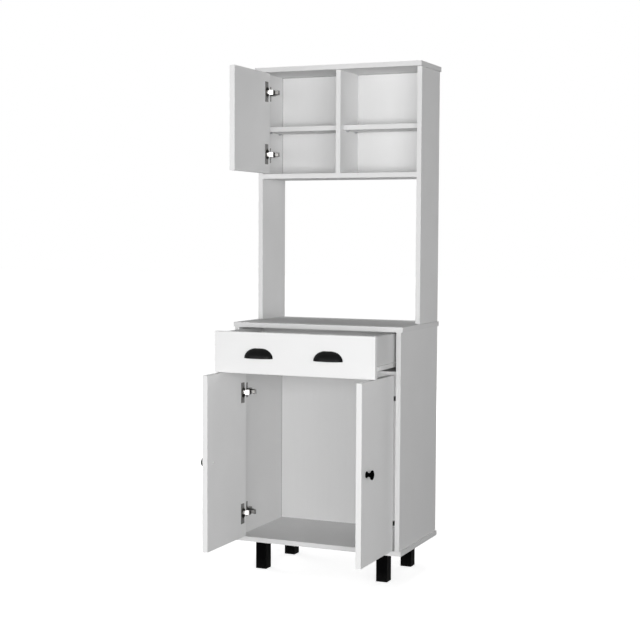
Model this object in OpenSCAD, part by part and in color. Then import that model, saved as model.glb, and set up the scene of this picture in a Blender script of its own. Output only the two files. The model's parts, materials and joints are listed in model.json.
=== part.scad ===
// Microwave cabinet: base cupboard with a drawer, open bay and a hutch with one door.
// Modelled with the doors open square and the drawer pulled out, as it rests.
// X runs left to right, Y from the front to the back, Z up from the floor.

/* [Overall] */
// Width of the three wide plates: worktop, bottom plate and hutch top
total_w = 600; // [560:10:640]
// Depth of the base, front edge to back edge
base_d = 360; // [340:10:400]
// How far the wide plates stand out past each side
side_overhang = 5; // [3:1:8]
// Thickness of the boards
board = 16; // [16:1:18]
// Thickness of the doors and of the drawer front
front_t = 18; // [18:1:19]
// Thickness of the back panels and the drawer bottom
panel_t = 3; // [3:1:4]

/* [Base] */
// Height of the base's sides
base_side_h = 705; // [690:5:740]
// How far the panel under the drawer lies behind the front edges
divider_recess = 20; // [20:1:30]
// From the back edge to the back panels' rear face
back_inset = 20; // [15:1:25]
// How far a back panel goes into its grooves
groove_depth = 7; // [5:1:8]
// Height of the legs with their pads
leg_h = 100; // [80:5:120]
// Width of a square leg
leg_w = 38; // [34:1:42]
// From the bottom plate's ends to a leg's axis
leg_inset_x = 82; // [60:2:100]
// From the bottom plate's front or back edge to a leg's axis
leg_inset_y = 64; // [50:2:80]
// Wall thickness of a leg
leg_wall = 2.5; // [2:0.5:4]
// Thickness of the pad under a leg
pad_t = 3; // [2:0.5:5]

/* [Hutch] */
// Depth of the hutch
hutch_d = 182; // [180:2:200]
// Height of the hutch's sides
hutch_side_h = 842; // [830:2:880]
// How far the hutch top stands out in front of the hutch's sides
top_overhang = 20; // [15:1:25]
// Clear height of the microwave bay
bay_h = 483; // [460:1:500]
// Clear height under the shelves
shelf_clear = 145; // [130:1:170]
// How far the shelves lie behind the hutch's front edges
shelf_recess = 25; // [22:1:40]

/* [Fronts] */
// Gap round the drawer front and above and below the doors
front_gap = 2; // [2:0.5:3]
// Gap between a door's hinge edge and the side, and between the two lower doors
hinge_gap = 3; // [3:0.5:4]
// Height of the drawer front
drawer_front_h = 133; // [125:1:145]
// How far the open drawer stands out at rest
drawer_out = 179; // [150:1:200]

/* [Drawer box] */
// Thickness of the drawer's sides and back
box_t = 12; // [12:1:14]
// Height of the drawer's sides
box_h = 106; // [95:1:110]
// Length of the drawer's sides and of the slides
box_l = 300; // [250:10:300]
// How far the drawer's sides end below the top of its front
box_drop = 4; // [3:1:8]
// Gap between the drawer box and the cabinet's side, which the slide fills
slide_gap = 13; // [13:0.5:14]

/* [Handles] */
// Width of a cup pull
pull_w = 99; // [90:1:110]
// Height of a cup pull
pull_h = 32; // [28:1:40]
// Length of the level part of a cup pull's crown
pull_crown = 20; // [12:1:30]
// How far a cup pull stands out
pull_d = 22; // [20:1:28]
// From the middle of the drawer front to a pull's middle
pull_x = 120; // [110:1:140]
// From a door's free edge to its knob
knob_inset = 41.5; // [35:0.5:50]
// Diameter of a knob's head
knob_d = 30; // [26:1:34]
// Diameter of a knob's base
knob_base_d = 20.5; // [18:0.5:24]
// How far a knob stands out
knob_l = 22.5; // [20:0.5:27]

/* [Hinges] */
// From a lower door's ends to its hinges
lower_hinge_inset = 80; // [70:5:100]
// From the upper door's ends to its hinges
upper_hinge_inset = 64; // [60:1:80]
// Opening angle of the doors at rest
open_angle = 90; // [80:5:95]

/* [Hidden] */
$fn = 48;

// Colours as the photograph shows them
white = [0.93, 0.93, 0.93];
black = [0.07, 0.07, 0.07];
nickel = [0.70, 0.70, 0.71];
epoxy = [0.90, 0.90, 0.89];
wood = [0.80, 0.66, 0.45];

// Inside of the base
inner_x = total_w / 2 - side_overhang - board;
side_mid_x = inner_x + board / 2;
bottom_top = leg_h + board;
worktop_z = bottom_top + base_side_h;
worktop_top = worktop_z + board;
back_y = base_d - back_inset - panel_t;
// Play of a panel or a shelf in its place
play = 0.5;

// Legs
leg_xs = [leg_inset_x - total_w / 2, total_w / 2 - leg_inset_x];
leg_ys = [leg_inset_y, base_d - leg_inset_y];
leg_boss_h = 30;
leg_bolt_d = 8;
leg_bolt_down = 21;
leg_bolt_up = 12;
pad_plug_h = 3 * pad_t;

// Hutch
hutch_y = base_d - hutch_d;
floor_z = worktop_top + bay_h;
floor_top = floor_z + board;
hutch_top_z = worktop_top + hutch_side_h;
shelf_z = floor_top + shelf_clear;
divider_x = board / 2;
pin_d = 5;
pin_in = 7;
pin_out = 9;
pin_inset = 30;
shelf_pin_y = [hutch_y + shelf_recess + pin_inset, back_y - pin_inset];

// Fronts
drawer_front_w = 2 * (inner_x - front_gap);
drawer_front_z = worktop_z - front_gap - drawer_front_h;
divider_z = drawer_front_z - front_gap / 2 - board / 2;
lower_door_w = (2 * inner_x - 3 * hinge_gap) / 2;
lower_door_z = bottom_top + front_gap;
lower_door_h = drawer_front_z - front_gap - lower_door_z;
upper_door_w = inner_x - divider_x - hinge_gap - front_gap;
upper_door_z = floor_top + front_gap;
upper_door_h = hutch_top_z - front_gap - upper_door_z;

// Drawer box, with the drawer closed
box_x = inner_x - slide_gap;
box_z = drawer_front_z + drawer_front_h - box_drop - box_h;
box_back_y = front_t + box_l;
bottom_lift = 10;
drawer_groove = 5;
bolt_d = 6;
bolt_in = 10;
bolt_l = 30;
bolt_z = [box_z + 30, box_z + box_h - 25];
back_screw_grip = 25;
sunk_head_t = 2;

// Screws and dowels
screw_d = 4;
small_screw_d = 3.5;
screw_play = 0.2;
head_t = 1.1;
head_d = 7;
pan_d = 2 * screw_d;
pan_t = 2;
bore_end = 0.5;
dowel_d = 8;
dowel_l = 30;
dowel_face_depth = 10;
dowel_inset = 50;
short_dowel_inset = 40;

// Slides: sheet, rollers and the gaps between them
sheet = 1.2;
roller_r = 6;
roller_w = 6;
roller_gap = 0.3;
axle_d = 4;
axle_play = 0.05;
axle_gap = 0.2;
axle_head_d = 6;
axle_head_t = 0.6;
spacer_d = 7;
drawer_slide_h = 16;
drawer_slide_lip = 12;
bearing_flange_w = 7.3;
bearing_flange_stop = 10;
cabinet_slide_h = 19.2;
cabinet_slide_start = divider_recess;
track_drop = 0.8;
track_clear = 2;
top_lip_clear = 5;
front_roller_y = cabinet_slide_start + 12;
rear_roller_y = box_back_y - 10;
drawer_slide_z = box_z - sheet;
drawer_screw_z = drawer_slide_z + drawer_slide_h / 2;
front_roller_z = drawer_slide_z + drawer_slide_h - sheet - roller_gap - roller_r;
track_top = front_roller_z - roller_r - track_drop;
rear_roller_z = track_top + roller_gap + roller_r;
front_roller_x = box_x + sheet + 2.4;
rear_roller_x = box_x + sheet + 1.8;
cabinet_screw_l = 11.5;
drawer_screw_l = 9.5;
cabinet_screw_y = [for (y = [37, 165, box_l - 40]) cabinet_slide_start + y];
drawer_screw_y = [for (y = [41, 168, box_l - 60]) front_t + y];

// Pulls and knobs
pull_wall = 2.2;
dome_steps = 40;
pull_screw_x = 32;
pull_screw_z = 10;
pull_screw_in = 11.5;
pull_boss_d = 8;
pull_boss_l = 0.64 * pull_d;
pull_z = drawer_front_z + drawer_front_h / 2 - pull_h / 2;
knob_screw_in = 12.5;
knob_steps = 14;
knob_foot_t = 1.5;
knob_rim = 2.5;
knob_waist_r = 5.6;
knob_waist_at = 0.45;
knob_neck_l = knob_l * 0.73;

// Hinge cup, placed from the door's hinge edge (s) and outer face (n)
cup_d = 35;
cup_edge = 3;
cup_depth = 13;
cup_wall = 0.8;
cup_s = cup_edge + cup_d / 2;
flange_t = 1;
flange_h = 68;
cup_screw_z = 24;
cup_screw_s = 6;
cup_screw_l = 10.5;
pin_s = 7.4;
pin_n = 12.7;
cup_pin_d = 2.5;
cup_pin_half = 8.8;
ear_z = 7.5;
ear_t = 3;
ear_over = 2.2;

// Hinge arm and plate: u runs from the side's inner face inwards, v from the front plane backwards
arm_pin = [50, 21.5];
arm_pin_d = 3;
cheek_in = 6;
cheek_t = 1.4;
nose_r = 3;
plate_v = 37 + front_t;
plate_wing_half = 25;
plate_wing_w = 12;
plate_wing_t = 2;
plate_body_half = 5.8;
plate_body_u = 13.5;
plate_body_front = 17;
plate_body_back = 8;
plate_screw_z = 16;
plate_screw_d = 5;
plate_screw_l = 12;
plate_head_t = 1.5;
arm_back_v = plate_v + 8.5;
arm_web_u = plate_body_u + 2.8;
arm_top_u = arm_web_u + cheek_t / 2;
arm_screw_v = plate_v + 2;
arm_screw_d = 6;
arm_screw_start = 3;
head_over = 3;

// Hinge link, with the door closed, and how far it turns for each degree that the door opens
closed_pin = [hinge_gap + pin_s, pin_n];
link_ratio = 0.34;
link_floor_v = 7.9;
link_bends = [[closed_pin[0] + 2.8, link_floor_v], [29.3, link_floor_v], [36.2, 20.9]];
link_t = 2;
link_half_narrow = 5.5;
link_half_wide = 7.75;
eye_r = 2.2;
arm_eye_r = 2.6;
pin_play = 0.05;

function turned(p, c, a) = [
    c[0] + (p[0] - c[0]) * cos(a) - (p[1] - c[1]) * sin(a),
    c[1] + (p[0] - c[0]) * sin(a) + (p[1] - c[1]) * cos(a)
];
link_turn = link_ratio * open_angle;
rest_pin = turned(closed_pin, arm_pin, link_turn);

// Lower doors' free edge is the frontmost edge at rest, the back edge the rearmost
door_front_y = rest_pin[1] + (pin_s - lower_door_w) * sin(open_angle) - pin_n * cos(open_angle);
origin_y = (door_front_y + base_d) / 2;

// Heights of the hinges
lower_hinges = [lower_door_z + lower_hinge_inset, lower_door_z + lower_door_h - lower_hinge_inset];
upper_hinges = [upper_door_z + upper_hinge_inset, upper_door_z + upper_door_h - upper_hinge_inset];
knob_z = lower_door_z + lower_door_h / 2;

// Dowels: [point in the joint, direction into the board whose end meets the joint]
base_dowel_y = [dowel_inset, base_d / 2, base_d - dowel_inset];
hutch_dowel_y = [hutch_y + short_dowel_inset, base_d - dowel_inset];
divider_dowel_y = [divider_recess + short_dowel_inset, back_y - short_dowel_inset];
base_bottom_dowels = [for (s = [-1, 1], y = base_dowel_y) [[s * side_mid_x, y, bottom_top], [0, 0, 1]]];
base_top_dowels = [for (s = [-1, 1], y = base_dowel_y) [[s * side_mid_x, y, worktop_z], [0, 0, -1]]];
hutch_bottom_dowels = [for (s = [-1, 1], y = hutch_dowel_y) [[s * side_mid_x, y, worktop_top], [0, 0, 1]]];
hutch_top_dowels = [for (x = [-side_mid_x, 0, side_mid_x], y = hutch_dowel_y)
    [[x, y, hutch_top_z], [0, 0, -1]]];
partition_dowels = [for (y = hutch_dowel_y) [[0, y, floor_top], [0, 0, 1]]];
base_divider_dowels = [for (s = [-1, 1], y = divider_dowel_y)
    [[s * inner_x, y, divider_z + board / 2], [-s, 0, 0]]];
hutch_floor_dowels = [for (s = [-1, 1], y = hutch_dowel_y)
    [[s * inner_x, y, floor_z + board / 2], [-s, 0, 0]]];

// ---- shared shapes ----

// Moves the cabinet so that the origin is under the middle of its box
module placed() {
    translate([0, -origin_y, 0]) children();
}

// Box between two corners
module block(a, b) {
    translate(a) cube(b - a);
}

// Dowels, or with a longer end the bores that hold them
module dowels(list, end = 0) {
    for (d = list) {
        translate(d[0] - (dowel_face_depth + end) * d[1])
            rotate([d[1][2] < 0 ? 180 : 0, 90 * d[1][0], 0])
                cylinder(d = dowel_d, h = dowel_l + 2 * end);
    }
}

// Round bar along X from x0 to x1
module bar_x(d, x0, x1) {
    translate([x0, 0, 0]) rotate([0, 90, 0]) cylinder(d = d, h = x1 - x0);
}

// Round bar along Y from y0 to y1
module bar_y(d, y0, y1) {
    translate([0, y0, 0]) rotate([-90, 0, 0]) cylinder(d = d, h = y1 - y0);
}

// Unit vector to the left of the run from a to b
function side_of(a, b) = [a[1] - b[1], b[0] - a[0]] / norm(b - a);

// Point i of the path, moved sideways by h, on the bisector where the path bends
function beside(p, i, h) =
    i == 0 ? p[0] + h * side_of(p[0], p[1])
    : i == len(p) - 1 ? p[i] + h * side_of(p[i - 1], p[i])
    : let (a = side_of(p[i - 1], p[i]), b = side_of(p[i], p[i + 1])) p[i] + h * (a + b) / (1 + a * b);

// Bent strip of sheet of thickness t that follows the path, from z0 to z1
module strip(path, t, z0, z1) {
    last = len(path) - 1;
    translate([0, 0, z0]) linear_extrude(z1 - z0) polygon(concat(
        [for (i = [0 : last]) beside(path, i, t / 2)],
        [for (i = [last : -1 : 0]) beside(path, i, -t / 2)]
    ));
}

// Puts hinge coordinates [u, v, z] on the left side (s = -1) or mirrored on the right side (s = 1)
module hinge_place(s, front_y, z) {
    translate([s * inner_x, front_y, z]) mirror([s > 0 ? 1 : 0, 0, 0]) children();
}

// Puts a closed door's own frame, x across from the hinge edge and y from the outer face back, at rest
module door_place(s, front_y) {
    hinge_place(s, front_y, 0)
        translate([rest_pin[0], rest_pin[1], 0])
            rotate([0, 0, -open_angle]) translate([-pin_s, -pin_n, 0]) children();
}

// Puts a part of the link, drawn with the door closed, at rest
module link_place(s, front_y, z) {
    hinge_place(s, front_y, z)
        translate(arm_pin) rotate([0, 0, link_turn]) translate(-arm_pin) children();
}

// ---- hinge bores in the sides, and a door ----

module plate_screw_bores(s, front_y, heights) {
    for (z = heights, k = [-1, 1]) {
        hinge_place(s, front_y, z) translate([0, plate_v, k * plate_screw_z])
            bar_x(plate_screw_d, plate_wing_t - plate_screw_l - bore_end, 1);
    }
}

module door(w, h, z0, heights, knob) {
    difference() {
        block([0, 0, z0], [w, front_t, z0 + h]);
        for (z = heights) {
            translate([cup_s, 0, z]) {
                bar_y(cup_d, front_t - cup_depth, front_t + 1);
                for (k = [-1, 1]) {
                    translate([cup_screw_s, 0, k * cup_screw_z])
                        bar_y(small_screw_d, front_t - cup_screw_l - bore_end, front_t + 1);
                }
            }
        }
        if (knob) {
            translate([w - knob_inset, 0, z0 + h / 2]) bar_y(screw_d + screw_play, -1, front_t + 1);
        }
    }
}

module cup() {
    inner_d = cup_d - 2 * cup_wall;
    difference() {
        union() {
            translate([cup_s, 0, 0]) bar_y(cup_d, front_t - cup_depth, front_t + flange_t);
            block([cup_s - cup_screw_s, front_t, -flange_h / 2],
                [cup_s + cup_d / 2, front_t + flange_t, flange_h / 2]);
        }
        difference() {
            translate([cup_s, 0, 0])
                bar_y(inner_d, front_t - cup_depth + cup_wall, front_t + flange_t + 1);
            for (k = [-1, 1]) {
                block([cup_edge, front_t - cup_depth, k * ear_z - ear_t / 2],
                    [pin_s + ear_over, pin_n + ear_over, k * ear_z + ear_t / 2]);
            }
        }
        block([cup_edge - 1, front_t, -flange_h], [cup_s - cup_screw_s, front_t + flange_t + 1, flange_h]);
        translate([pin_s, pin_n, -cup_pin_half]) cylinder(d = cup_pin_d, h = 2 * cup_pin_half);
        for (k = [-1, 1]) {
            translate([cup_s + cup_screw_s, 0, k * cup_screw_z]) bar_y(small_screw_d, front_t - 1, front_t + 2);
        }
    }
}

module link() {
    difference() {
        union() {
            strip(concat([closed_pin], link_bends, [arm_pin]), link_t, -link_half_narrow, link_half_narrow);
            strip([link_bends[0] + [link_t, 0], link_bends[1], link_bends[2]], link_t,
                -link_half_wide, link_half_wide);
            translate([closed_pin[0], closed_pin[1], -link_half_narrow])
                cylinder(r = eye_r, h = 2 * link_half_narrow);
            translate([arm_pin[0], arm_pin[1], -link_half_narrow])
                cylinder(r = arm_eye_r, h = 2 * link_half_narrow);
        }
        translate([closed_pin[0], closed_pin[1], -link_half_narrow - 1])
            cylinder(d = cup_pin_d + 2 * pin_play, h = 2 * link_half_narrow + 2);
        translate([arm_pin[0], arm_pin[1], -link_half_narrow - 1])
            cylinder(d = arm_pin_d + 2 * pin_play, h = 2 * link_half_narrow + 2);
    }
}

// Channel from the arm pin back over the plate: two cheeks and the web over them
module arm() {
    cheek = [
        arm_pin + [-1.8, -2.4], arm_pin + [1.9, 2.3], [arm_web_u + 5.7, plate_v - 8],
        [arm_web_u + 0.7, plate_v - 3], [arm_web_u + 0.7, arm_back_v], [plate_wing_t + 5, arm_back_v],
        [plate_wing_t + 5, plate_v - 11]
    ];
    web = [
        arm_pin + [-1, 3.8], [arm_web_u + 5, plate_v - 8.2], [arm_web_u, plate_v - 3.2],
        [arm_web_u, arm_back_v]
    ];
    difference() {
        union() {
            for (k = [-1, 1]) {
                translate([0, 0, k > 0 ? cheek_in : -cheek_in - cheek_t]) {
                    linear_extrude(cheek_t) polygon(cheek);
                    translate(arm_pin) cylinder(r = nose_r, h = cheek_t);
                }
            }
            strip(web, cheek_t, -cheek_in - cheek_t, cheek_in + cheek_t);
        }
        translate([arm_pin[0], arm_pin[1], -cheek_in - cheek_t - 1])
            cylinder(d = arm_pin_d, h = 2 * (cheek_in + cheek_t + 1));
        translate([0, arm_screw_v, 0]) bar_x(arm_screw_d, arm_web_u - 2, arm_web_u + 2);
    }
}

module plate() {
    difference() {
        union() {
            block([0, plate_v - plate_wing_w / 2, -plate_wing_half],
                [plate_wing_t, plate_v + plate_wing_w / 2, plate_wing_half]);
            block([0, plate_v - plate_body_front, -plate_body_half],
                [plate_body_u, plate_v + plate_body_back, plate_body_half]);
        }
        for (k = [-1, 1]) {
            translate([0, plate_v, k * plate_screw_z]) bar_x(plate_screw_d, -1, plate_wing_t + 1);
        }
        translate([0, arm_screw_v, 0]) bar_x(arm_screw_d, arm_screw_start, plate_body_u + 1);
    }
}

// ---- base ----

module worktop() color(white) placed() difference() {
    block([-total_w / 2, 0, worktop_z], [total_w / 2, base_d, worktop_top]);
    dowels(base_top_dowels, bore_end);
    dowels(hutch_bottom_dowels, bore_end);
    block([-inner_x - groove_depth, back_y, worktop_z - 1],
        [inner_x + groove_depth, back_y + panel_t, worktop_z + groove_depth]);
}

module base_side(s) {
    x0 = s > 0 ? inner_x : -inner_x - board;
    difference() {
        block([x0, 0, bottom_top], [x0 + board, base_d, worktop_z]);
        dowels([for (d = base_bottom_dowels) if (d[0][0] * s > 0) d], bore_end);
        dowels([for (d = base_top_dowels) if (d[0][0] * s > 0) d], bore_end);
        dowels([for (d = base_divider_dowels) if (d[0][0] * s > 0) d], bore_end);
        block([s > 0 ? inner_x - 1 : -inner_x - groove_depth, back_y, bottom_top - 1],
            [s > 0 ? inner_x + groove_depth : -inner_x + 1, back_y + panel_t, worktop_z + 1]);
        plate_screw_bores(s, 0, lower_hinges);
        for (y = cabinet_screw_y) {
            mirror([s < 0 ? 1 : 0, 0, 0]) translate([0, y, front_roller_z])
                bar_x(small_screw_d, inner_x - 1, inner_x + cabinet_screw_l + bore_end);
        }
    }
}

module base_left_side() color(white) placed() base_side(-1);

module base_right_side() color(white) placed() base_side(1);

module base_bottom() color(white) placed() difference() {
    block([-total_w / 2, 0, leg_h], [total_w / 2, base_d, bottom_top]);
    dowels(base_bottom_dowels, bore_end);
    block([-inner_x - groove_depth, back_y, bottom_top - groove_depth],
        [inner_x + groove_depth, back_y + panel_t, bottom_top + 1]);
    for (x = leg_xs, y = leg_ys) {
        translate([x, y, leg_h - 1]) cylinder(d = leg_bolt_d, h = leg_bolt_up + bore_end + 1);
    }
}

module base_divider() color(white) placed() difference() {
    block([-inner_x, divider_recess, divider_z], [inner_x, back_y, divider_z + board]);
    dowels(base_divider_dowels, bore_end);
}

module base_back() color(white) placed()
    block([-inner_x - groove_depth + play, back_y, bottom_top - groove_depth],
        [inner_x + groove_depth - play, back_y + panel_t, worktop_z + groove_depth - 2 * play]);

// ---- legs ----

module leg(x, y) color(black) placed() translate([x, y, 0]) difference() {
    block([-leg_w / 2, -leg_w / 2, pad_t], [leg_w / 2, leg_w / 2, leg_h]);
    difference() {
        block([leg_wall - leg_w / 2, leg_wall - leg_w / 2, pad_t - 1],
            [leg_w / 2 - leg_wall, leg_w / 2 - leg_wall, leg_h - 2 * leg_wall]);
        translate([0, 0, leg_h - leg_boss_h]) cylinder(d = 2 * leg_bolt_d, h = leg_boss_h);
    }
    translate([0, 0, leg_h - leg_bolt_down - bore_end])
        cylinder(d = leg_bolt_d, h = leg_bolt_down + bore_end + 1);
}

module front_left_leg() leg(leg_xs[0], leg_ys[0]);

module front_right_leg() leg(leg_xs[1], leg_ys[0]);

module rear_left_leg() leg(leg_xs[0], leg_ys[1]);

module rear_right_leg() leg(leg_xs[1], leg_ys[1]);

module leg_pads() color(black) placed() for (x = leg_xs, y = leg_ys) translate([x, y, 0]) {
    block([-leg_w / 2, -leg_w / 2, 0], [leg_w / 2, leg_w / 2, pad_t]);
    block([leg_wall - leg_w / 2, leg_wall - leg_w / 2, 0],
        [leg_w / 2 - leg_wall, leg_w / 2 - leg_wall, pad_plug_h]);
}

module leg_bolts() color(nickel) placed() for (x = leg_xs, y = leg_ys)
    translate([x, y, leg_h - leg_bolt_down]) cylinder(d = leg_bolt_d, h = leg_bolt_down + leg_bolt_up);

// ---- hutch ----

module hutch_side(s) {
    x0 = s > 0 ? inner_x : -inner_x - board;
    difference() {
        block([x0, hutch_y, worktop_top], [x0 + board, base_d, hutch_top_z]);
        dowels([for (d = hutch_bottom_dowels) if (d[0][0] * s > 0) d], bore_end);
        dowels([for (d = hutch_top_dowels) if (d[0][0] * s > 0) d], bore_end);
        dowels([for (d = hutch_floor_dowels) if (d[0][0] * s > 0) d], bore_end);
        block([s > 0 ? inner_x - 1 : -inner_x - groove_depth, back_y, floor_z],
            [s > 0 ? inner_x + groove_depth : -inner_x + 1, back_y + panel_t, hutch_top_z + 1]);
        shelf_pin_set(s, bore_end);
        if (s < 0) plate_screw_bores(s, hutch_y, upper_hinges);
    }
}

module hutch_left_side() color(white) placed() hutch_side(-1);

module hutch_right_side() color(white) placed() hutch_side(1);

module hutch_top() color(white) placed() difference() {
    block([-total_w / 2, hutch_y - top_overhang, hutch_top_z], [total_w / 2, base_d, hutch_top_z + board]);
    dowels(hutch_top_dowels, bore_end);
    block([-inner_x - groove_depth, back_y, hutch_top_z - 1],
        [inner_x + groove_depth, back_y + panel_t, hutch_top_z + groove_depth]);
}

module hutch_floor() color(white) placed() difference() {
    block([-inner_x, hutch_y, floor_z], [inner_x, base_d, floor_top]);
    dowels(hutch_floor_dowels, bore_end);
    dowels(partition_dowels, bore_end);
    block([-inner_x - 1, back_y, floor_top - groove_depth], [inner_x + 1, back_y + panel_t, floor_top + 1]);
}

module hutch_divider() color(white) placed() difference() {
    block([-divider_x, hutch_y, floor_top], [divider_x, back_y, hutch_top_z]);
    dowels([for (d = hutch_top_dowels) if (d[0][0] == 0) d], bore_end);
    dowels(partition_dowels, bore_end);
    shelf_pin_set(0, bore_end);
}

module shelf(s) {
    x0 = s > 0 ? divider_x + play : -inner_x + play;
    block([x0, hutch_y + shelf_recess, shelf_z],
        [x0 + inner_x - divider_x - 2 * play, back_y - play, shelf_z + board]);
}

module hutch_left_shelf() color(white) placed() shelf(-1);

module hutch_right_shelf() color(white) placed() shelf(1);

module hutch_back() color(white) placed()
    block([-inner_x - groove_depth + play, back_y, floor_top - groove_depth],
        [inner_x + groove_depth - play, back_y + panel_t, hutch_top_z + groove_depth - 2 * play]);

// Shelf pins, or their bores, at the left side (-1), the right side (1) or the divider (0)
module shelf_pin_set(place, end = 0) {
    for (y = shelf_pin_y) {
        translate([0, y, shelf_z - pin_d / 2]) {
            if (place != 0) {
                x = place * inner_x;
                bar_x(pin_d, place > 0 ? x - pin_out : x - pin_in - end,
                    place > 0 ? x + pin_in + end : x + pin_out);
            }
            if (place == 0) {
                bar_x(pin_d, divider_x - pin_in - end, divider_x + pin_out);
                bar_x(pin_d, -divider_x - pin_out, -divider_x + pin_in + end);
            }
        }
    }
}

module shelf_pins() color(nickel) placed() {
    for (place = [-1, 0, 1]) {
        shelf_pin_set(place);
    }
}

module panel_dowels() color(wood) placed() {
    dowels(base_bottom_dowels);
    dowels(base_top_dowels);
    dowels(hutch_bottom_dowels);
    dowels(hutch_top_dowels);
    dowels(partition_dowels);
    dowels(base_divider_dowels);
    dowels(hutch_floor_dowels);
}

// ---- drawer, drawn closed and moved out ----

module drawn_out() {
    placed() translate([0, -drawer_out, 0]) children();
}

module pull_screw_places() {
    for (s = [-1, 1], k = [-1, 1]) {
        translate([s * pull_x + k * pull_screw_x, 0, pull_z + pull_screw_z]) children();
    }
}

// Cam bolts from the drawer's sides into its front, or their bores
module front_bolts(end = 0) {
    for (s = [-1, 1], z = bolt_z) {
        translate([s * (box_x - box_t / 2), 0, z])
            bar_y(bolt_d, front_t - bolt_in - end, front_t - bolt_in + bolt_l + end);
    }
}

// Screws through the drawer's sides into its back, or their bores
module back_screws(end = 0) {
    for (s = [0, 1], z = bolt_z) {
        mirror([s, 0, 0]) translate([0, box_back_y - box_t / 2, z]) {
            bar_x(screw_d, box_x - box_t - back_screw_grip - end, box_x);
            bar_x(head_d, box_x - sunk_head_t, box_x);
        }
    }
}

module slide_screw_bores() {
    for (s = [0, 1], y = drawer_screw_y) {
        mirror([s, 0, 0]) translate([0, y, drawer_screw_z])
            bar_x(small_screw_d, box_x - drawer_screw_l - bore_end, box_x + 1);
    }
}

module drawer_front() color(white) drawn_out() difference() {
    block([-drawer_front_w / 2, 0, drawer_front_z],
        [drawer_front_w / 2, front_t, drawer_front_z + drawer_front_h]);
    pull_screw_places() bar_y(screw_d + screw_play, -1, front_t + 1);
    front_bolts(bore_end);
    block([-box_x + box_t - drawer_groove, front_t - drawer_groove, box_z + bottom_lift],
        [box_x - box_t + drawer_groove, front_t + 1, box_z + bottom_lift + panel_t]);
}

module drawer_side(s) {
    x0 = s > 0 ? box_x - box_t : -box_x;
    difference() {
        block([x0, front_t, box_z], [x0 + box_t, box_back_y, box_z + box_h]);
        front_bolts(bore_end);
        back_screws(bore_end);
        slide_screw_bores();
        block([s > 0 ? x0 - 1 : x0 + box_t - drawer_groove, front_t - 1, box_z + bottom_lift],
            [s > 0 ? x0 + drawer_groove : x0 + box_t + 1, box_back_y + 1, box_z + bottom_lift + panel_t]);
    }
}

module drawer_left_side() color(white) drawn_out() drawer_side(-1);

module drawer_right_side() color(white) drawn_out() drawer_side(1);

module drawer_back() color(white) drawn_out() difference() {
    block([-box_x + box_t, box_back_y - box_t, box_z + bottom_lift + panel_t],
        [box_x - box_t, box_back_y, box_z + box_h]);
    back_screws(bore_end);
}

module drawer_bottom() color(white) drawn_out()
    block([-box_x + box_t - drawer_groove + play, front_t - drawer_groove + play, box_z + bottom_lift],
        [box_x - box_t + drawer_groove - play, box_back_y, box_z + bottom_lift + panel_t]);

module drawer_fasteners() color(nickel) drawn_out() {
    front_bolts();
    back_screws();
}

// Front upper quarter of an egg with a level crown, smaller all round by inset
module pull_dome(inset) {
    half_crown = pull_crown / 2;
    size = [pull_w / 2 - half_crown, pull_d, pull_h] - [inset, inset, inset];
    for (s = [0, 1]) {
        mirror([s, 0, 0]) translate([half_crown, 0, 0]) intersection() {
            scale(size) sphere(r = 1, $fn = dome_steps);
            block([0, -pull_d - 1, 0], [pull_w, 0, pull_h + 1]);
        }
    }
    intersection() {
        scale([1, size[1], size[2]]) rotate([180 / dome_steps, 0, 0]) rotate([0, 90, 0])
            cylinder(r = 1, h = pull_crown, center = true, $fn = dome_steps);
        block([-pull_w, -pull_d - 1, 0], [pull_w, 0, pull_h + 1]);
    }
}

// Cup pull: shell open below, with two screw bosses
module cup_pull(x) {
    translate([x, 0, pull_z]) difference() {
        union() {
            difference() {
                pull_dome(0);
                pull_dome(pull_wall);
            }
            for (k = [-1, 1]) {
                translate([k * pull_screw_x, 0, pull_screw_z]) bar_y(pull_boss_d, -pull_boss_l, 0);
            }
        }
        for (k = [-1, 1]) {
            translate([k * pull_screw_x, 0, pull_screw_z]) bar_y(screw_d, -pull_screw_in - bore_end, 1);
        }
    }
}

module left_cup_pull() color(black) drawn_out() cup_pull(-pull_x);

module right_cup_pull() color(black) drawn_out() cup_pull(pull_x);

module pull_screws() color(nickel) drawn_out() pull_screw_places() {
    bar_y(screw_d, -pull_screw_in, front_t);
    bar_y(pan_d, front_t, front_t + pan_t);
}

// ---- slides ----

// Stub axle from the sheet at x0 to the end of its head at x1
module axle(x0, x1) {
    bar_x(axle_d, min(x0, x1), max(x0, x1));
    bar_x(axle_head_d, x1 > x0 ? x1 - axle_head_t : x1, x1 > x0 ? x1 : x1 + axle_head_t);
}

module cabinet_slide(s) mirror([s < 0 ? 1 : 0, 0, 0]) {
    web_x = inner_x - sheet;
    track_z = track_top - sheet;
    slide_end = cabinet_slide_start + box_l;
    difference() {
        union() {
            block([web_x, cabinet_slide_start, track_z], [inner_x, slide_end, track_z + cabinet_slide_h]);
            block([box_x + track_clear, cabinet_slide_start, track_z], [inner_x, slide_end, track_top]);
            block([box_x + top_lip_clear, cabinet_slide_start, track_z + cabinet_slide_h - sheet],
                [inner_x, slide_end, track_z + cabinet_slide_h]);
        }
        for (y = cabinet_screw_y) {
            translate([0, y, front_roller_z]) bar_x(small_screw_d, web_x - 1, inner_x + 1);
        }
    }
    translate([0, front_roller_y, front_roller_z]) {
        axle(web_x, front_roller_x - axle_gap - axle_head_t);
        bar_x(spacer_d, front_roller_x + roller_w + axle_gap, web_x);
    }
}

module left_cabinet_slide() color(epoxy) placed() cabinet_slide(-1);

module right_cabinet_slide() color(epoxy) placed() cabinet_slide(1);

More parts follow.
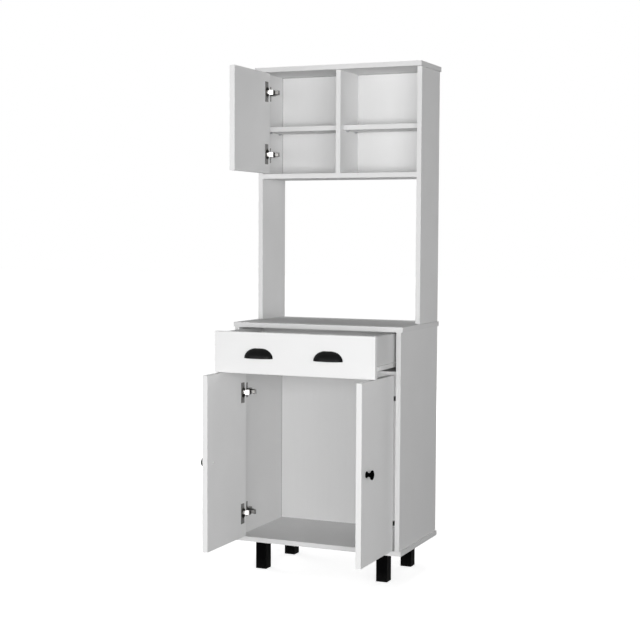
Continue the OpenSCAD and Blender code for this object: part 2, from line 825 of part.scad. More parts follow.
module drawer_slide(s) mirror([s < 0 ? 1 : 0, 0, 0]) {
    web_end = box_x + sheet;
    top = drawer_slide_z + drawer_slide_h;
    difference() {
        union() {
            block([box_x, front_t, drawer_slide_z], [web_end, box_back_y, top]);
            block([box_x - drawer_slide_lip, front_t, drawer_slide_z], [web_end, box_back_y, box_z]);
            block([box_x, front_t, top - sheet],
                [web_end + bearing_flange_w, rear_roller_y - bearing_flange_stop, top]);
        }
        for (y = drawer_screw_y) {
            translate([0, y, drawer_screw_z]) bar_x(small_screw_d, box_x - 1, web_end + 1);
        }
    }
    translate([0, rear_roller_y, rear_roller_z]) {
        axle(web_end, rear_roller_x + roller_w + axle_gap + axle_head_t);
        bar_x(spacer_d, web_end, rear_roller_x - axle_gap);
    }
}

module left_drawer_slide() color(epoxy) drawn_out() drawer_slide(-1);

module right_drawer_slide() color(epoxy) drawn_out() drawer_slide(1);

module roller_pair(x0, y, z) {
    for (s = [0, 1]) {
        mirror([s, 0, 0]) translate([0, y, z]) difference() {
            bar_x(2 * roller_r, x0, x0 + roller_w);
            bar_x(axle_d + 2 * axle_play, x0 - 1, x0 + roller_w + 1);
        }
    }
}

module front_rollers() color(white) placed() roller_pair(front_roller_x, front_roller_y, front_roller_z);

module rear_rollers() color(white) drawn_out() roller_pair(rear_roller_x, rear_roller_y, rear_roller_z);

module cabinet_slide_screws() color(nickel) placed() for (s = [0, 1], y = cabinet_screw_y) {
    mirror([s, 0, 0]) translate([0, y, front_roller_z]) {
        bar_x(small_screw_d, inner_x - sheet, inner_x + cabinet_screw_l);
        bar_x(head_d, inner_x - sheet - head_t, inner_x - sheet);
    }
}

module drawer_slide_screws() color(nickel) drawn_out() for (s = [0, 1], y = drawer_screw_y) {
    mirror([s, 0, 0]) translate([0, y, drawer_screw_z]) {
        bar_x(small_screw_d, box_x - drawer_screw_l, box_x + sheet);
        bar_x(head_d, box_x + sheet, box_x + sheet + head_t);
    }
}

// ---- doors ----

module lower_door(s) door_place(s, 0) door(lower_door_w, lower_door_h, lower_door_z, lower_hinges, true);

module lower_left_door() color(white) placed() lower_door(-1);

module lower_right_door() color(white) placed() lower_door(1);

module upper_door() color(white) placed() door_place(-1, hutch_y)
    door(upper_door_w, upper_door_h, upper_door_z, upper_hinges, false);

// Radius of a knob's neck at share t of its length
function neck_r(t) = knob_waist_r + (t < knob_waist_at
    ? (knob_base_d / 2 - 1 - knob_waist_r) * pow(1 - t / knob_waist_at, 2)
    : (knob_d / 2 - 3 - knob_waist_r) * pow((t - knob_waist_at) / (1 - knob_waist_at), 2));

// Knob: foot, waisted neck, rolled rim and domed face
module knob() rotate([90, 0, 0]) difference() {
    rim_y = knob_neck_l + knob_rim;
    rotate_extrude() polygon(concat(
        [[0, 0], [knob_base_d / 2, 0], [knob_base_d / 2, knob_foot_t]],
        [for (i = [1 : knob_steps]) let (t = i / knob_steps)
            [neck_r(t), knob_foot_t + (knob_neck_l - knob_foot_t) * t]],
        [for (a = [-60 : 20 : 0]) [knob_d / 2 - knob_rim * (1 - cos(a)), rim_y + knob_rim * sin(a)]],
        [for (i = [1 : knob_steps]) let (a = 90 * i / knob_steps)
            [knob_d / 2 * cos(a), rim_y + (knob_l - rim_y) * sin(a)]]
    ));
    translate([0, 0, -1]) cylinder(d = screw_d, h = knob_screw_in + bore_end + 1);
}

module knob_on(s) color(black) placed() door_place(s, 0)
    translate([lower_door_w - knob_inset, 0, knob_z]) knob();

module lower_left_knob() knob_on(-1);

module lower_right_knob() knob_on(1);

module door_screws(s, front_y, heights, knob_x) color(nickel) placed() door_place(s, front_y) {
    for (z = heights, k = [-1, 1]) {
        translate([cup_s + cup_screw_s, 0, z + k * cup_screw_z]) {
            bar_y(small_screw_d, front_t - cup_screw_l, front_t + flange_t);
            bar_y(head_d, front_t + flange_t, front_t + flange_t + head_t);
        }
    }
    if (knob_x > 0) {
        translate([knob_x, 0, knob_z]) {
            bar_y(screw_d, -knob_screw_in, front_t);
            bar_y(pan_d, front_t, front_t + pan_t);
        }
    }
}

module lower_left_door_screws() door_screws(-1, 0, lower_hinges, lower_door_w - knob_inset);

module lower_right_door_screws() door_screws(1, 0, lower_hinges, lower_door_w - knob_inset);

module upper_door_screws() door_screws(-1, hutch_y, upper_hinges, 0);

module cups(s, front_y, heights) color(nickel) placed() door_place(s, front_y) for (z = heights)
    translate([0, 0, z]) cup();

module lower_left_cups() cups(-1, 0, lower_hinges);

module lower_right_cups() cups(1, 0, lower_hinges);

module upper_cups() cups(-1, hutch_y, upper_hinges);

module cup_pins(s, front_y, heights) color(nickel) placed() door_place(s, front_y) for (z = heights)
    translate([pin_s, pin_n, z - cup_pin_half]) cylinder(d = cup_pin_d, h = 2 * cup_pin_half);

module lower_left_cup_pins() cup_pins(-1, 0, lower_hinges);

module lower_right_cup_pins() cup_pins(1, 0, lower_hinges);

module upper_cup_pins() cup_pins(-1, hutch_y, upper_hinges);

module links(s, front_y, heights) color(nickel) placed() for (z = heights) link_place(s, front_y, z) link();

module lower_left_links() links(-1, 0, lower_hinges);

module lower_right_links() links(1, 0, lower_hinges);

module upper_links() links(-1, hutch_y, upper_hinges);

// ---- hinge parts that stay on the sides ----

module every_hinge() {
    for (z = lower_hinges, s = [-1, 1]) {
        hinge_place(s, 0, z) children();
    }
    for (z = upper_hinges) {
        hinge_place(-1, hutch_y, z) children();
    }
}

module hinge_arms() color(nickel) placed() every_hinge() arm();

module hinge_arm_pins() color(nickel) placed() every_hinge()
    translate([arm_pin[0], arm_pin[1], -cheek_in - cheek_t])
        cylinder(d = arm_pin_d, h = 2 * (cheek_in + cheek_t));

module hinge_plates() color(nickel) placed() every_hinge() plate();

module hinge_plate_screws() color(nickel) placed() every_hinge() {
    for (k = [-1, 1]) {
        translate([0, plate_v, k * plate_screw_z]) {
            bar_x(plate_screw_d, plate_wing_t - plate_screw_l, plate_wing_t);
            bar_x(plate_screw_d + head_over, plate_wing_t, plate_wing_t + plate_head_t);
        }
    }
    translate([0, arm_screw_v, 0]) {
        bar_x(arm_screw_d, arm_screw_start, arm_top_u);
        bar_x(arm_screw_d + head_over, arm_top_u, arm_top_u + plate_head_t);
    }
}

worktop();
base_left_side();
base_right_side();
base_bottom();
base_divider();
base_back();
front_left_leg();
front_right_leg();
rear_left_leg();
rear_right_leg();
leg_pads();
leg_bolts();
hutch_left_side();
hutch_right_side();
hutch_top();
hutch_floor();
hutch_divider();
hutch_left_shelf();
hutch_right_shelf();
hutch_back();
shelf_pins();
panel_dowels();
drawer_front();
drawer_left_side();
drawer_right_side();
drawer_back();
drawer_bottom();
left_cup_pull();
right_cup_pull();
pull_screws();
drawer_fasteners();
left_cabinet_slide();
right_cabinet_slide();
left_drawer_slide();
right_drawer_slide();
front_rollers();
rear_rollers();
cabinet_slide_screws();
drawer_slide_screws();
lower_left_door();
lower_right_door();
upper_door();
lower_left_knob();
lower_right_knob();
lower_left_cups();
lower_right_cups();
upper_cups();
lower_left_cup_pins();
lower_right_cup_pins();
upper_cup_pins();
lower_left_links();
lower_right_links();
upper_links();
lower_left_door_screws();
lower_right_door_screws();
upper_door_screws();
hinge_arms();
hinge_arm_pins();
hinge_plates();
hinge_plate_screws();
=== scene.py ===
"""Microwave cabinet: finishes, small hardware detail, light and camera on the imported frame. Metres."""
import json
import math

import bmesh
import bpy
from mathutils import Matrix, Vector


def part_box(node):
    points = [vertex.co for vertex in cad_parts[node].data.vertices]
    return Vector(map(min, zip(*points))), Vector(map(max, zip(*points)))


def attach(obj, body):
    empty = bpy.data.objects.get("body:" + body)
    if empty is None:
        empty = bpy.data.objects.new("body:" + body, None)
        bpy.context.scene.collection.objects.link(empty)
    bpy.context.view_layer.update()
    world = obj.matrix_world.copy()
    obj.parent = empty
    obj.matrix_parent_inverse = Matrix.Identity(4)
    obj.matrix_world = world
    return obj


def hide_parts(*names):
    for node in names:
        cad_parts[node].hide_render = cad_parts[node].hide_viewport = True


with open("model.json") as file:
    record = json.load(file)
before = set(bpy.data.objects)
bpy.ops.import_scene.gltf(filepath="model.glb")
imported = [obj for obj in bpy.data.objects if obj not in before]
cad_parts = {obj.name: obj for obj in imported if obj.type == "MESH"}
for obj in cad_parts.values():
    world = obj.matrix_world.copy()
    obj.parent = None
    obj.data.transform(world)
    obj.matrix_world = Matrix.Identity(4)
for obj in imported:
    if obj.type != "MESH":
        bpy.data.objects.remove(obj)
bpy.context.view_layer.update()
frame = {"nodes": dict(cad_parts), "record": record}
MM = 0.001

# ---------------------------------------------------------------- camera, from the photograph's edges

CAMERA_AT = (1.7914, -4.1497, 1.1335)
CAMERA_YAW = 23.40
CAMERA_PITCH = -3.59
CAMERA_ROLL = 0.29
CAMERA_LENS = 77.54
CAMERA_SENSOR = 36
CAMERA_REACH = 60


def make_camera():
    camera = bpy.data.objects.new("camera", bpy.data.cameras.new("camera"))
    bpy.context.scene.collection.objects.link(camera)
    turn = (
        Matrix.Rotation(math.radians(CAMERA_YAW), 4, "Z")
        @ Matrix.Rotation(math.radians(90 + CAMERA_PITCH), 4, "X")
        @ Matrix.Rotation(math.radians(CAMERA_ROLL), 4, "Z")
    )
    camera.matrix_world = Matrix.Translation(CAMERA_AT) @ turn
    camera.data.sensor_width = CAMERA_SENSOR
    camera.data.lens = CAMERA_LENS
    camera.data.clip_end = CAMERA_REACH
    bpy.context.scene.camera = camera


# ---------------------------------------------------------------- light, floor and background

# What the lamps face, about the cabinet's middle
CENTRE = Vector((0, 0, 0.85))
# Strength of the world's light on the object; it is seen, and mirrored, as white
AMBIENT = 0.04
# How brightly the floor shows by itself near the cabinet and far from it; the lamps add the rest
FLOOR_GLOW = 0.74, 1.0
# Where, in metres from the origin, the near glow ends and the far one is reached
FLOOR_GLOW_REACH = 0.9, 2.6
# The floor's own colour as it is seen, and as it bounces light up at the cabinet
FLOOR_SEEN = 0.86
FLOOR_BOUNCE = 0.30
FLOOR_HALF_WIDTH = 30
FLOOR_ROUGHNESS = 0.9


def area_light(name, azimuth, elevation, distance, width, height, irradiance):
    """A soft lamp that faces the cabinet's middle; irradiance 1 shows a white wall facing it as white."""
    a, e = math.radians(azimuth), math.radians(elevation)
    back = Vector((math.sin(a) * math.cos(e), -math.cos(a) * math.cos(e), math.sin(e)))
    lamp = bpy.data.objects.new(name, bpy.data.lights.new(name, "AREA"))
    bpy.context.scene.collection.objects.link(lamp)
    lamp.location = CENTRE + back * distance
    lamp.rotation_mode = "QUATERNION"
    lamp.rotation_quaternion = back.to_track_quat("Z", "Y")
    lamp.data.shape = "RECTANGLE"
    lamp.data.size = width
    lamp.data.size_y = height
    lamp.data.energy = irradiance * math.pi**2 * distance**2


# Azimuth, elevation, distance, width, height and irradiance
LAMPS = {
    "key": (30, 1.5, 6.0, 3.5, 1.9, 0.46),
    "front": (5, 1.5, 6.0, 3.5, 1.9, 0.24),
    "left": (-30, 1.5, 6.0, 3.5, 1.9, 0.255),
    "right_side": (60, 5, 6.0, 3.5, 3.0, 0.155),
    "left_fill": (-115, 12, 6.0, 3.0, 3.0, 0.30),
    "back_fill": (170, 4, 6.0, 3.0, 3.0, 0.30),
    "top": (180, 81, 6.0, 2.0, 0.8, 0.19),
}


def make_lights():
    for name, lamp in LAMPS.items():
        area_light(name, *lamp)


def seen_directly(tree):
    """1 for rays from the camera, from gloss and through glass, else 0."""
    path = tree.nodes.new("ShaderNodeLightPath").outputs
    seen_or_mirrored = math_node(tree, "MAXIMUM", path["Is Camera Ray"], path["Is Glossy Ray"])
    return math_node(tree, "MAXIMUM", seen_or_mirrored, path["Is Transmission Ray"])


def make_world():
    world = bpy.data.worlds.new("studio")
    bpy.context.scene.world = world
    world.use_nodes = True
    tree = world.node_tree
    seen = seen_directly(tree)
    strength = add(tree, "ShaderNodeMapRange", {"Value": seen, "To Min": AMBIENT, "To Max": 1.0})
    background = tree.nodes["Background"]
    background.inputs["Color"].default_value = (1, 1, 1, 1)
    tree.links.new(strength.outputs[0], background.inputs["Strength"])


def make_floor():
    mesh = bpy.data.meshes.new("floor")
    signs = ((-1, -1), (1, -1), (1, 1), (-1, 1))
    corners = [(x * FLOOR_HALF_WIDTH, y * FLOOR_HALF_WIDTH, 0) for x, y in signs]
    mesh.from_pydata(corners, [], [(0, 1, 2, 3)])
    floor = bpy.data.objects.new("floor", mesh)
    bpy.context.scene.collection.objects.link(floor)
    material, tree, bsdf = new_material("pale_floor", (FLOOR_SEEN,) * 3, FLOOR_ROUGHNESS, gloss=0.0)
    seen = seen_directly(tree)
    tone = mix_colour(tree, seen, (FLOOR_BOUNCE,) * 3, (FLOOR_SEEN,) * 3)
    tree.links.new(tone, bsdf.inputs["Base Color"])
    point = tree.nodes.new("ShaderNodeNewGeometry").outputs["Position"]
    away = add(tree, "ShaderNodeVectorMath", {0: point}, operation="LENGTH").outputs["Value"]
    near, far = FLOOR_GLOW_REACH
    dim, full = FLOOR_GLOW
    inputs = {"Value": away, "From Min": near, "From Max": far, "To Min": dim, "To Max": full}
    glow = add(tree, "ShaderNodeMapRange", inputs, interpolation_type="SMOOTHSTEP").outputs[0]
    bsdf.inputs["Emission Color"].default_value = (1, 1, 1, 1)
    tree.links.new(math_node(tree, "MULTIPLY", seen, glow), bsdf.inputs["Emission Strength"])
    mesh.materials.append(material)


# ---------------------------------------------------------------- shader helpers

def new_material(name, colour, roughness, gloss, metallic=0.0):
    material = bpy.data.materials.new(name)
    material.use_nodes = True
    bsdf = material.node_tree.nodes["Principled BSDF"]
    bsdf.inputs["Base Color"].default_value = (*colour, 1)
    bsdf.inputs["Roughness"].default_value = roughness
    bsdf.inputs["Metallic"].default_value = metallic
    bsdf.inputs["Specular IOR Level"].default_value = gloss
    return material, material.node_tree, bsdf


def add(tree, kind, inputs=None, **settings):
    """A node with settings and inputs, each input a value or a socket to link from."""
    node = tree.nodes.new(kind)
    for key, value in settings.items():
        setattr(node, key, value)
    for key, value in (inputs or {}).items():
        if isinstance(value, bpy.types.NodeSocket):
            tree.links.new(value, node.inputs[key])
        else:
            node.inputs[key].default_value = value
    return node


def math_node(tree, operation, *values):
    return add(tree, "ShaderNodeMath", dict(enumerate(values)), operation=operation).outputs[0]


def object_point(tree, stretch=(1, 1, 1)):
    """The point in the piece's own frame, in metres, stretched for streaks."""
    point = tree.nodes.new("ShaderNodeTexCoord").outputs["Object"]
    return add(tree, "ShaderNodeVectorMath", {0: point, 1: stretch}, operation="MULTIPLY").outputs[0]


def noise(tree, size_mm, detail, point=None, rough=0.5):
    """Noise whose blobs are about size_mm across."""
    point = point or object_point(tree)
    inputs = {"Vector": point, "Scale": 1 / (size_mm * MM), "Detail": detail, "Roughness": rough}
    return add(tree, "ShaderNodeTexNoise", inputs).outputs["Fac"]


# Between these lies most of what a noise texture gives
NOISE_RANGE = 0.3, 0.7


def spread(tree, value, low, high):
    """A noise value spread over low to high."""
    least, most = NOISE_RANGE
    inputs = {"Value": value, "From Min": least, "From Max": most, "To Min": low, "To Max": high}
    return add(tree, "ShaderNodeMapRange", inputs).outputs[0]


def toned(colour, share):
    return tuple(share * c for c in colour)


def mix_colour(tree, factor, a, b):
    node = add(tree, "ShaderNodeMix", data_type="RGBA")
    for socket, value in ((node.inputs[0], factor), (node.inputs[6], a), (node.inputs[7], b)):
        if isinstance(value, bpy.types.NodeSocket):
            tree.links.new(value, socket)
        elif isinstance(value, tuple):
            socket.default_value = (*value, 1)
        else:
            socket.default_value = value
    return node.outputs[2]


def bump(tree, bsdf, height, depth_mm, edge_mm=0.0):
    """Raises the surface by height times depth_mm, over edges that look rounded by edge_mm."""
    inputs = {"Height": height, "Distance": depth_mm * MM, "Strength": 1.0}
    if edge_mm:
        inputs["Normal"] = add(tree, "ShaderNodeBevel", {"Radius": edge_mm * MM}, samples=4).outputs[0]
    tree.links.new(add(tree, "ShaderNodeBump", inputs).outputs[0], bsdf.inputs["Normal"])


# ---------------------------------------------------------------- finishes

# Width of a board's glued edge band as its face shows it, and of the hairline beside it
BAND_MM = 1.0
SEAM_MM = 0.15
# From a back panel's edge to where it leaves its groove, and half the width of the painted shade line along
# that corner
GROOVE_MM = 6.9
CORNER_SHADE_HALF_MM = 1.1
# A link's inner end, nearer than this distance in metres to the cabinet's middle plane, is darkened with
# painted shade to this share of its colour; beyond it the link keeps its bright colour
LINK_SHADE_REACH = 0.2415
LINK_SHADE_SHARE = 0.17


def edge_distance(tree, node):
    """Distance in metres from a point on a board to its nearest narrow edge."""
    low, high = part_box(node)
    size = high - low
    thin = min(range(3), key=lambda axis: size[axis])
    point = tree.nodes.new("ShaderNodeTexCoord").outputs["Object"]
    parts = add(tree, "ShaderNodeSeparateXYZ", {0: point})
    distances = []
    for axis in range(3):
        if axis != thin:
            centred = math_node(tree, "SUBTRACT", parts.outputs[axis], (low[axis] + high[axis]) / 2)
            reach = math_node(tree, "ABSOLUTE", centred)
            distances.append(math_node(tree, "SUBTRACT", size[axis] / 2, reach))
    return math_node(tree, "MINIMUM", *distances)


def melamine(name, node, colour, roughness, gloss):
    """Satin board face with a fine pearl and a glued edge band whose joint shows as a hairline."""
    material, tree, bsdf = new_material(name, colour, roughness, gloss)
    distance = edge_distance(tree, node)
    band = math_node(tree, "LESS_THAN", distance, BAND_MM * MM)
    off_seam = math_node(tree, "ABSOLUTE", math_node(tree, "SUBTRACT", distance, BAND_MM * MM))
    seam = math_node(tree, "LESS_THAN", off_seam, SEAM_MM * MM / 2)
    cloud = spread(tree, noise(tree, size_mm=160, detail=4), 0.0, 1.0)
    face = mix_colour(tree, cloud, toned(colour, 0.975), colour)
    banded = mix_colour(tree, band, face, toned(colour, 0.95))
    seamed = mix_colour(tree, seam, banded, toned(colour, 0.62))
    tree.links.new(seamed, bsdf.inputs["Base Color"])
    smear = spread(tree, noise(tree, size_mm=60, detail=5), roughness - 0.04, roughness + 0.05)
    tree.links.new(smear, bsdf.inputs["Roughness"])
    pearl = noise(tree, size_mm=1.1, detail=2)
    seam_groove = math_node(tree, "SUBTRACT", pearl, seam)
    bump(tree, bsdf, seam_groove, depth_mm=0.02, edge_mm=0.6)
    return material


def hardboard(name, node, colour, roughness, gloss):
    """Lacquered hardboard: faint roller marks and fibre, and a dark line of painted shade in the corner
    where it leaves its groove.
    """
    material, tree, bsdf = new_material(name, colour, roughness, gloss)
    streaks = noise(tree, size_mm=14, detail=4, point=object_point(tree, (1, 1, 0.06)))
    fibre = noise(tree, size_mm=2.5, detail=4, rough=0.7)
    both = math_node(tree, "MULTIPLY", streaks, fibre)
    shade = add(tree, "ShaderNodeMapRange", {"Value": both, "From Min": 0.1, "From Max": 0.4}).outputs[0]
    face = mix_colour(tree, shade, toned(colour, 0.985), colour)
    # Painted shade: the colour is darkened in a thin line along the corner where the back leaves its groove
    past_groove = math_node(tree, "SUBTRACT", edge_distance(tree, node), GROOVE_MM * MM)
    painted_corner_shade = math_node(tree, "LESS_THAN", math_node(tree, "ABSOLUTE", past_groove), CORNER_SHADE_HALF_MM * MM)
    tree.links.new(mix_colour(tree, painted_corner_shade, face, toned(colour, 0.45)), bsdf.inputs["Base Color"])
    tree.links.new(spread(tree, streaks, roughness - 0.05, roughness + 0.07), bsdf.inputs["Roughness"])
    bump(tree, bsdf, both, depth_mm=0.04)
    return material


# A leg is dusty below this height, in metres, most at the floor
DUST_HEIGHT = 0.035
DUST_COLOUR = (0.16, 0.155, 0.15)


def moulded_black(name, node, colour, roughness, gloss):
    """Fine spark-eroded grain, a little dust towards the floor and rubbed corners."""
    material, tree, bsdf = new_material(name, colour, roughness, gloss)
    point = tree.nodes.new("ShaderNodeTexCoord").outputs["Object"]
    height = add(tree, "ShaderNodeSeparateXYZ", {0: point}).outputs[2]
    inputs = {"Value": height, "From Min": DUST_HEIGHT, "From Max": 0.0}
    low_down = add(tree, "ShaderNodeMapRange", inputs).outputs[0]
    dust = math_node(tree, "MULTIPLY", low_down, spread(tree, noise(tree, size_mm=5, detail=5), 0.0, 0.05))
    tree.links.new(mix_colour(tree, dust, colour, DUST_COLOUR), bsdf.inputs["Base Color"])
    grain = noise(tree, size_mm=0.5, detail=2)
    rubbed = spread(tree, noise(tree, size_mm=18, detail=4), roughness - 0.06, roughness + 0.08)
    tree.links.new(rubbed, bsdf.inputs["Roughness"])
    bump(tree, bsdf, grain, depth_mm=0.03, edge_mm=0.8)
    return material


def satin_black(name, node, colour, roughness, gloss):
    """Painted zinc casting: faint orange peel, slightly polished by hands; matt on a knob, else coated."""
    is_knob = node.endswith("_knob")
    material, tree, bsdf = new_material(name, colour, roughness, 0.0 if is_knob else gloss)
    bsdf.inputs["Coat Weight"].default_value = 0.0 if is_knob else 0.06
    bsdf.inputs["Coat Roughness"].default_value = 0.22
    worn = spread(tree, noise(tree, size_mm=9, detail=4), roughness - 0.1, roughness + 0.1)
    tree.links.new(worn, bsdf.inputs["Roughness"])
    tone = spread(tree, noise(tree, size_mm=25, detail=3), 0.0, 1.0)
    tree.links.new(mix_colour(tree, tone, colour, toned(colour, 1.5)), bsdf.inputs["Base Color"])
    bump(tree, bsdf, noise(tree, size_mm=1.6, detail=2), depth_mm=0.02)
    return material


def rubber(name, node, colour, roughness, gloss):
    """Dull moulded rubber, mottled and finely pitted."""
    material, tree, bsdf = new_material(name, colour, roughness, gloss)
    tone = spread(tree, noise(tree, size_mm=4, detail=4), 0.0, 1.0)
    tree.links.new(mix_colour(tree, tone, colour, toned(colour, 2.2)), bsdf.inputs["Base Color"])
    bump(tree, bsdf, noise(tree, size_mm=0.8, detail=3), depth_mm=0.06)
    return material


def enamel(name, node, colour, roughness, gloss):
    """Powder coat on pressed steel: orange peel, and grey scuffs where the rollers run."""
    material, tree, bsdf = new_material(name, colour, roughness, gloss)
    scuff = noise(tree, size_mm=7, detail=5, point=object_point(tree, (1, 0.08, 1)))
    marks = add(tree, "ShaderNodeMapRange", {"Value": scuff, "From Min": 0.58, "From Max": 0.75}).outputs[0]
    tree.links.new(mix_colour(tree, marks, colour, toned(colour, 0.8)), bsdf.inputs["Base Color"])
    bump(tree, bsdf, noise(tree, size_mm=1.4, detail=2), depth_mm=0.03, edge_mm=0.3)
    return material


def nylon(name, node, colour, roughness, gloss):
    """Milky moulded nylon with a little dirt."""
    material, tree, bsdf = new_material(name, colour, roughness, gloss)
    bsdf.inputs["Subsurface Weight"].default_value = 0.12
    bsdf.inputs["Subsurface Radius"].default_value = (0.002, 0.002, 0.0015)
    dirt = spread(tree, noise(tree, size_mm=3, detail=5), 0.0, 0.3)
    tree.links.new(mix_colour(tree, dirt, colour, toned(colour, 0.7)), bsdf.inputs["Base Color"])
    bump(tree, bsdf, noise(tree, size_mm=0.7, detail=2), depth_mm=0.02)
    return material


def plated(name, node, colour, roughness, gloss):
    """Plated pressed steel, with rolling streaks along the height and clouds; a link's inner end is darkened
    with painted shade.
    """
    material, tree, bsdf = new_material(name, colour, roughness, gloss, metallic=1.0)
    streaks = noise(tree, size_mm=1.2, detail=4, point=object_point(tree, (1, 1, 0.08)))
    tree.links.new(spread(tree, streaks, roughness - 0.07, roughness + 0.1), bsdf.inputs["Roughness"])
    tone = spread(tree, noise(tree, size_mm=6, detail=4), 0.0, 1.0)
    clouded = mix_colour(tree, tone, toned(colour, 0.84), colour)
    # Painted shade: each link's inner end is darkened in its colour
    if node.endswith("_links"):
        point = tree.nodes.new("ShaderNodeTexCoord").outputs["Object"]
        out = math_node(tree, "ABSOLUTE", add(tree, "ShaderNodeSeparateXYZ", {0: point}).outputs[0])
        painted_shade_end = math_node(tree, "LESS_THAN", out, LINK_SHADE_REACH)
        clouded = mix_colour(tree, painted_shade_end, clouded, toned(colour, LINK_SHADE_SHARE))
    tree.links.new(clouded, bsdf.inputs["Base Color"])
    bump(tree, bsdf, streaks, depth_mm=0.015, edge_mm=0.25)
    return material


def beech(name, node, colour, roughness, gloss):
    """Bare wood with its grain along the height."""
    material, tree, bsdf = new_material(name, colour, roughness, gloss)
    grain = noise(tree, size_mm=1.5, detail=5, point=object_point(tree, (1, 1, 0.1)))
    tree.links.new(mix_colour(tree, grain, toned(colour, 0.7), colour), bsdf.inputs["Base Color"])
    bump(tree, bsdf, grain, depth_mm=0.1)
    return material


# Record slot: finish, linear colour, roughness and specular level
FINISHES = {
    "white_board": (melamine, (0.80, 0.80, 0.80), 0.58, 0.04),
    "white_front": (melamine, (0.865, 0.865, 0.865), 0.50, 0.08),
    "drawer_board": (melamine, (0.79, 0.79, 0.79), 0.58, 0.04),
    "back_board": (hardboard, (0.79, 0.79, 0.79), 0.60, 0.04),
    "black_leg": (moulded_black, (0.0015, 0.0015, 0.0016), 0.6, 0.01),
    "pad_rubber": (rubber, (0.008, 0.008, 0.008), 0.8, 0.1),
    "beech": (beech, (0.58, 0.40, 0.22), 0.6, 0.3),
    "black_handle": (satin_black, (0.0028, 0.0028, 0.0030), 0.38, 0.05),
    "slide_enamel": (enamel, (0.76, 0.76, 0.75), 0.36, 0.2),
    "nylon": (nylon, (0.72, 0.72, 0.70), 0.44, 0.3),
    "nickel": (plated, (0.62, 0.61, 0.59), 0.27, 0.5),
    "zinc": (plated, (0.66, 0.67, 0.69), 0.31, 0.5),
}

# Pieces that are duller or brighter than their slot: share of its colour, by the node's ending
TONES = {
    "_cups": 0.42,
    "_links": 1.15,
    "hinge_arms": 0.28,
    "hinge_plates": 0.45,
    "_door_screws": 0.4,
    "hinge_plate_screws": 0.5,
    "_knob": 0.4,
}


def dress(piece, slot, node):
    """Gives a piece the finish of a record slot; node gives its tone, and where a board's edges are."""
    make, colour, roughness, gloss = FINISHES[slot]
    for ending, share in TONES.items():
        if node.endswith(ending):
            colour = toned(colour, share)
    piece.data.materials.clear()
    piece.data.materials.append(make(f"{slot}_{piece.name}", node, colour, roughness, gloss))


def dress_nodes():
    for part in frame["record"]["subparts"]:
        dress(frame["nodes"][part["node"]], part["material_slot"], part["node"])


# ---------------------------------------------------------------- screws with domed, cross-slotted heads

SCREW_NODES = {
    "cabinet_slide_screws": "cabinet",
    "drawer_slide_screws": "drawer",
    "pull_screws": "drawer",
    "hinge_plate_screws": "cabinet",
    "lower_left_door_screws": "lower_left_leaf",
    "lower_right_door_screws": "lower_right_leaf",
    "upper_door_screws": "upper_leaf",
}
# The screw that holds each knob has a head painted like the door
KNOBS = {"lower_left_door_screws": "lower_left_knob", "lower_right_door_screws": "lower_right_knob"}
PLATED_SLOT = "zinc"
PAINTED_SLOT = "slide_enamel"
PIECE_ENDINGS = {PLATED_SLOT: "slotted", PAINTED_SLOT: "painted"}
# Points nearer than this, in metres, are one
SAME_POINT = 1e-6


def solids_of(node):
    """The points of each separate solid in a CAD node."""
    mesh = bmesh.new()
    mesh.from_mesh(frame["nodes"][node].data)
    bmesh.ops.remove_doubles(mesh, verts=mesh.verts, dist=SAME_POINT)
    left = set(mesh.verts)
    groups = []
    while left:
        stack = [left.pop()]
        points = []
        while stack:
            vert = stack.pop()
            points.append(vert.co.copy())
            for edge in vert.link_edges:
                other = edge.other_vert(vert)
                if other in left:
                    left.remove(other)
                    stack.append(other)
        groups.append(points)
    mesh.free()
    return groups


# Points at this share of the head's radius or more are on its rim
RIM_SHARE = 0.97


def measure_screw(points):
    """Tip, direction from tip to head, length, the shank's and the head's radius, and the head's height."""
    low = Vector([min(p[i] for p in points) for i in range(3)])
    high = Vector([max(p[i] for p in points) for i in range(3)])
    size = high - low
    axis = max(range(3), key=lambda i: size[i])
    middle = (low + high) / 2
    stations = {}
    for p in points:
        off = p - middle
        off[axis] = 0
        key = round(p[axis], 6)
        stations[key] = max(stations.get(key, 0), off.length)
    head_r = max(stations.values())
    wide = [k for k, r in stations.items() if r > RIM_SHARE * head_r]
    direction = Vector((0, 0, 0))
    direction[axis] = 1 if max(wide) > high[axis] - SAME_POINT else -1
    tip = middle.copy()
    tip[axis] = low[axis] if direction[axis] > 0 else high[axis]
    shank_r = min(stations.values())
    return tip, direction, size[axis], shank_r, head_r, max(wide) - min(wide)


SIDES = 32
# Head profile from its seat to its crown: share of the head's radius and of its height
HEAD_PROFILE = ((1.0, 0.0), (1.0, 0.32), (0.95, 0.6), (0.82, 0.84), (0.62, 1.0))
# Radius of the tip, as a share of the shank's
TIP_SHARE = 0.35
# The cross slot's arms and half width as shares of the head's radius, its depth as one of the head's height
SLOT_REACH = 0.42
SLOT_HALF_WIDTH = 0.1
SLOT_DEPTH = 0.7
# How much of the arms and of the width is left at the slot's floor
SLOT_FLOOR_REACH = 0.7
SLOT_FLOOR_WIDTH = 0.8


def ring(mesh, radius, z):
    angles = [2 * math.pi * i / SIDES for i in range(SIDES)]
    return [mesh.verts.new((radius * math.cos(a), radius * math.sin(a), z)) for a in angles]


def cross(mesh, reach, half, z):
    """The twelve corners of a plus sign, in order."""
    quarter = [(reach, -half), (reach, half), (half, half)]
    corners = []
    for turn in range(4):
        for x, y in quarter:
            for _ in range(turn):
                x, y = -y, x
            corners.append(mesh.verts.new((x, y, z)))
    return corners


def bridge(mesh, a, b):
    for i in range(len(a)):
        j = (i + 1) % len(a)
        mesh.faces.new((a[i], a[j], b[j], b[i]))


def loop_edges(mesh, verts):
    pairs = zip(verts, verts[1:] + verts[:1])
    return [mesh.edges.get(pair) or mesh.edges.new(pair) for pair in pairs]


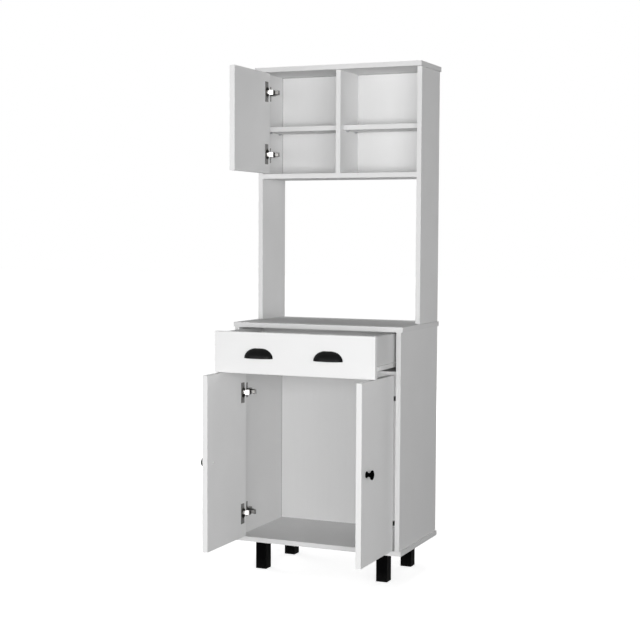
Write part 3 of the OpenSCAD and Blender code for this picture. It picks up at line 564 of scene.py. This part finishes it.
def add_screw(mesh, points):
    """Adds one screw, built along +Z, to the mesh at the place of the CAD's plain one."""
    tip, direction, length, shank_r, head_r, head_h = measure_screw(points)
    before = len(mesh.verts)
    seat = length - head_h
    end = ring(mesh, shank_r * TIP_SHARE, 0)
    neck = ring(mesh, shank_r, min(shank_r, seat / 2))
    top = ring(mesh, shank_r, seat)
    mesh.faces.new(list(reversed(end)))
    bridge(mesh, end, neck)
    bridge(mesh, neck, top)
    last = top
    for share, rise in HEAD_PROFILE:
        here = ring(mesh, head_r * share, seat + head_h * rise)
        bridge(mesh, last, here)
        last = here
    reach, half = head_r * SLOT_REACH, head_r * SLOT_HALF_WIDTH
    mouth = cross(mesh, reach, half, length)
    floor = cross(mesh, reach * SLOT_FLOOR_REACH, half * SLOT_FLOOR_WIDTH, length - head_h * SLOT_DEPTH)
    bmesh.ops.triangle_fill(mesh, edges=loop_edges(mesh, last) + loop_edges(mesh, mouth), use_beauty=True)
    bridge(mesh, mouth, floor)
    mesh.faces.new(floor)
    mesh.verts.ensure_lookup_table()
    turn = direction.to_track_quat("Z", "Y").to_matrix().to_4x4()
    made = mesh.verts[before:]
    bmesh.ops.transform(mesh, matrix=Matrix.Translation(tip) @ turn, verts=made)


# Edges that turn by more than this stay sharp
SHARP_DEGREES = 35


def finish_mesh(name, mesh):
    """Turns a bmesh into an object with sharp edges kept sharp."""
    bmesh.ops.recalc_face_normals(mesh, faces=mesh.faces)
    for face in mesh.faces:
        face.smooth = True
    for edge in mesh.edges:
        if len(edge.link_faces) == 2 and edge.calc_face_angle() > math.radians(SHARP_DEGREES):
            edge.smooth = False
    data = bpy.data.meshes.new(name)
    mesh.to_mesh(data)
    mesh.free()
    piece = bpy.data.objects.new(name, data)
    bpy.context.scene.collection.objects.link(piece)
    return piece


def holds_knob(node, points):
    """Whether a solid of a screws' node lies within the height of that door's knob."""
    if node not in KNOBS:
        return False
    low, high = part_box(KNOBS[node])
    return all(low[2] < p.z < high[2] for p in points)


def make_screws():
    for node, body in SCREW_NODES.items():
        groups = {PLATED_SLOT: [], PAINTED_SLOT: []}
        for points in solids_of(node):
            groups[PAINTED_SLOT if holds_knob(node, points) else PLATED_SLOT].append(points)
        for slot, solids in groups.items():
            if not solids:
                continue
            mesh = bmesh.new()
            for points in solids:
                add_screw(mesh, points)
            piece = finish_mesh(f"{node}_{PIECE_ENDINGS[slot]}", mesh)
            dress(piece, slot, node if slot == PLATED_SLOT else piece.name)
            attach(piece, body)
            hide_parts(node)


# ---------------------------------------------------------------- build

make_camera()
make_world()
make_lights()
make_floor()
dress_nodes()
make_screws()

scene = bpy.context.scene
scene.view_settings.view_transform = "Standard"
